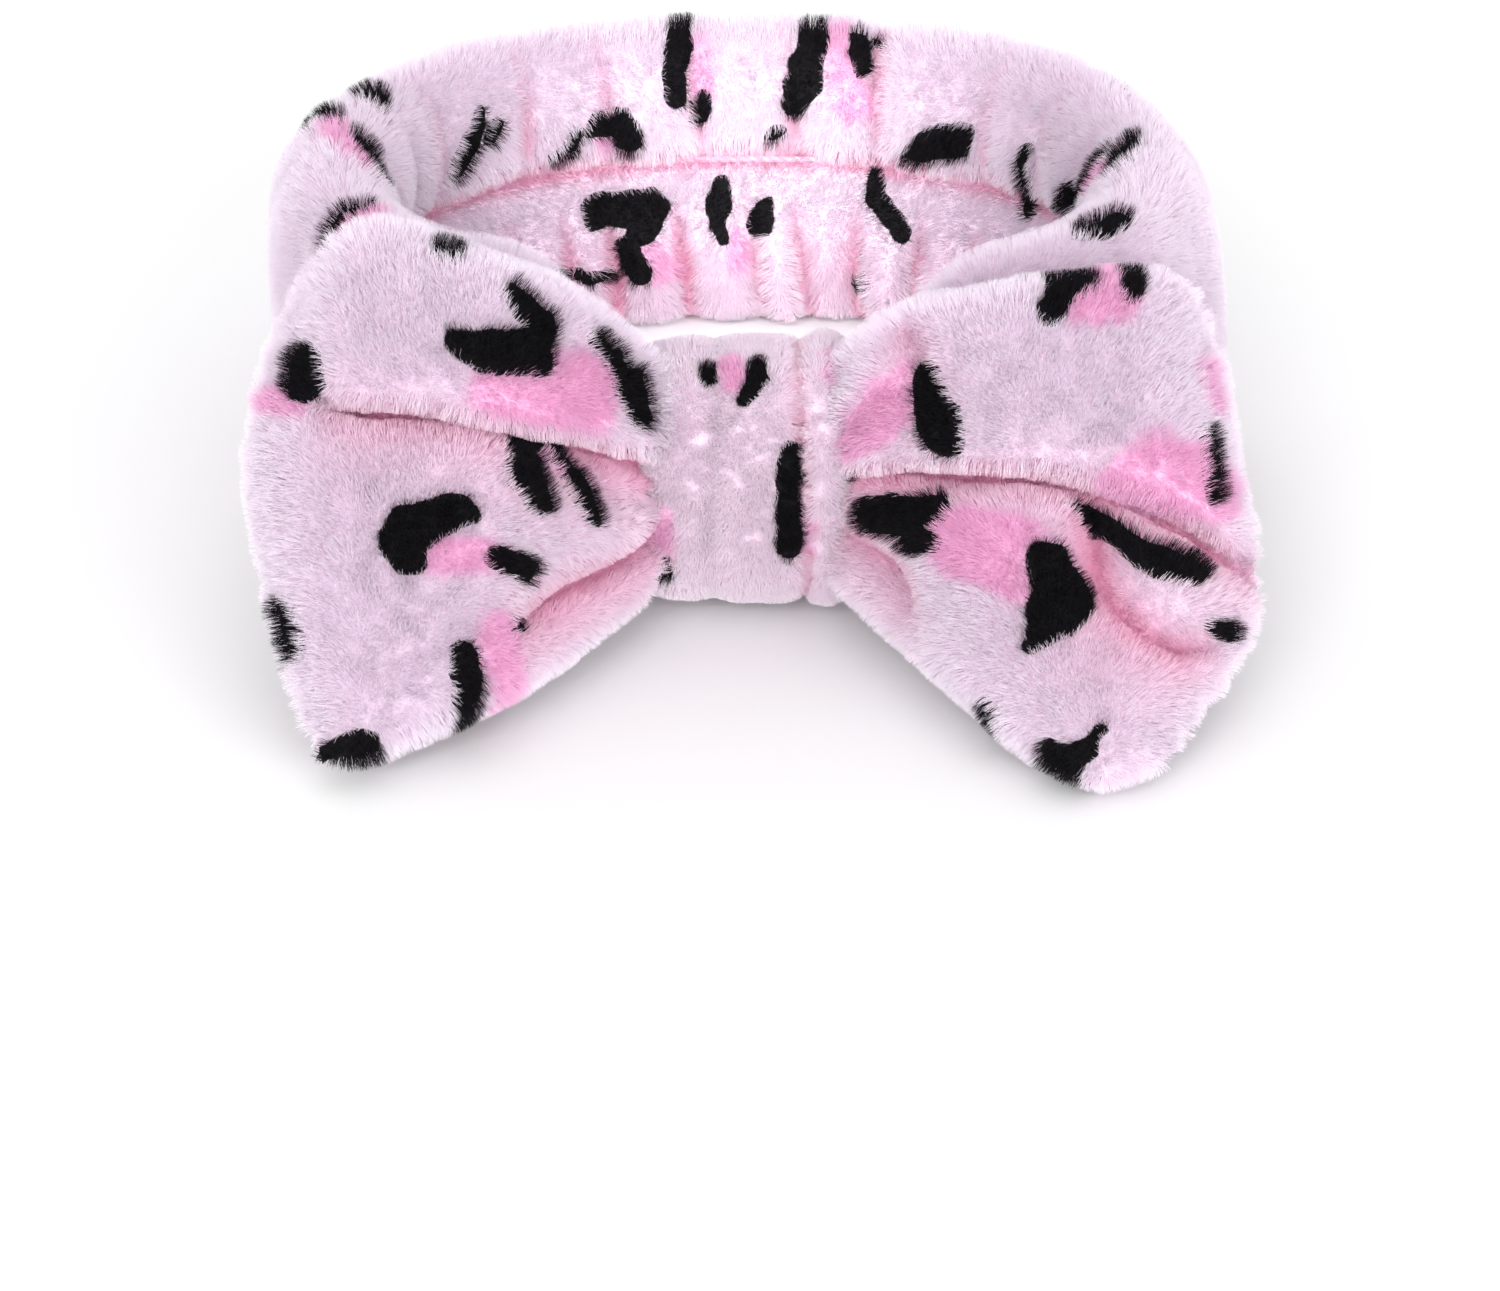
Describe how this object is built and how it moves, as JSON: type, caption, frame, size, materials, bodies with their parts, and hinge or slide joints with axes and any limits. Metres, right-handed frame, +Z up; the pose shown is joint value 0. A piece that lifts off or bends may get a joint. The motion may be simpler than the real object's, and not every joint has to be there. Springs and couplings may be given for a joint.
{
  "type": "spa headband",
  "caption": "Elastic fleece head band with a wide soft bow: a hollow sleeve round the head, an elastic strip inside its rear, and a padded bow gathered under a wrapped knot.",
  "frame": {"origin": "on the table, under the middle of the box round band and bow together", "axes": "+Z is up, along the axis of the head opening; the bow faces -Y and the elastic rear is at +Y; +X is to the right of someone who looks at the bow"},
  "size_m": [0.1994, 0.2236, 0.0831],
  "materials": {
    "coral_fleece": "matte",
    "knot_fleece": "matte",
    "elastic_weave": "matte",
    "polyester_wadding": "matte",
    "sewing_thread": "satin"
  },
  "bodies": {
    "front_band": {"sleeve_left": "coral_fleece", "sleeve_right": "coral_fleece", "sleeve_seam_left": "sewing_thread", "sleeve_seam_right": "sewing_thread", "sleeve_end_seam": "sewing_thread", "elastic_tack_left": "sewing_thread", "elastic_tack_right": "sewing_thread", "bow_waist": "coral_fleece", "gather_thread": "sewing_thread", "bow_tack_upper": "sewing_thread", "bow_tack_lower": "sewing_thread", "knot_wrap": "knot_fleece", "knot_closing_stitch": "sewing_thread"},
    "rear_band": {"sleeve_rear": "coral_fleece", "sleeve_seam_rear": "sewing_thread", "elastic_strip": "elastic_weave"},
    "left_wing": {"bow_shell_left": "coral_fleece", "bow_wadding_left": "polyester_wadding", "bow_edge_seam_left": "sewing_thread"},
    "right_wing": {"bow_shell_right": "coral_fleece", "bow_wadding_right": "polyester_wadding", "bow_edge_seam_right": "sewing_thread"}
  },
  "joints": [
    {"name": "band_stretch", "type": "slide", "parent": "front_band", "child": "rear_band", "axis": [0, 1, 0], "range_m": [0, 0.035], "stiffness_N_per_m": 180, "deforming": ["elastic_strip"]},
    {"name": "left_wing_fold", "type": "hinge", "parent": "front_band", "child": "left_wing", "pos_m": [-0.026, -0.0427, 0.035], "axis": [0, 0, 1], "range_deg": [-6, 35], "stiffness_Nm_per_rad": 0.03},
    {"name": "right_wing_fold", "type": "hinge", "parent": "front_band", "child": "right_wing", "pos_m": [0.026, -0.0427, 0.035], "axis": [0, 0, -1], "range_deg": [-6, 35], "stiffness_Nm_per_rad": 0.03}
  ]
}
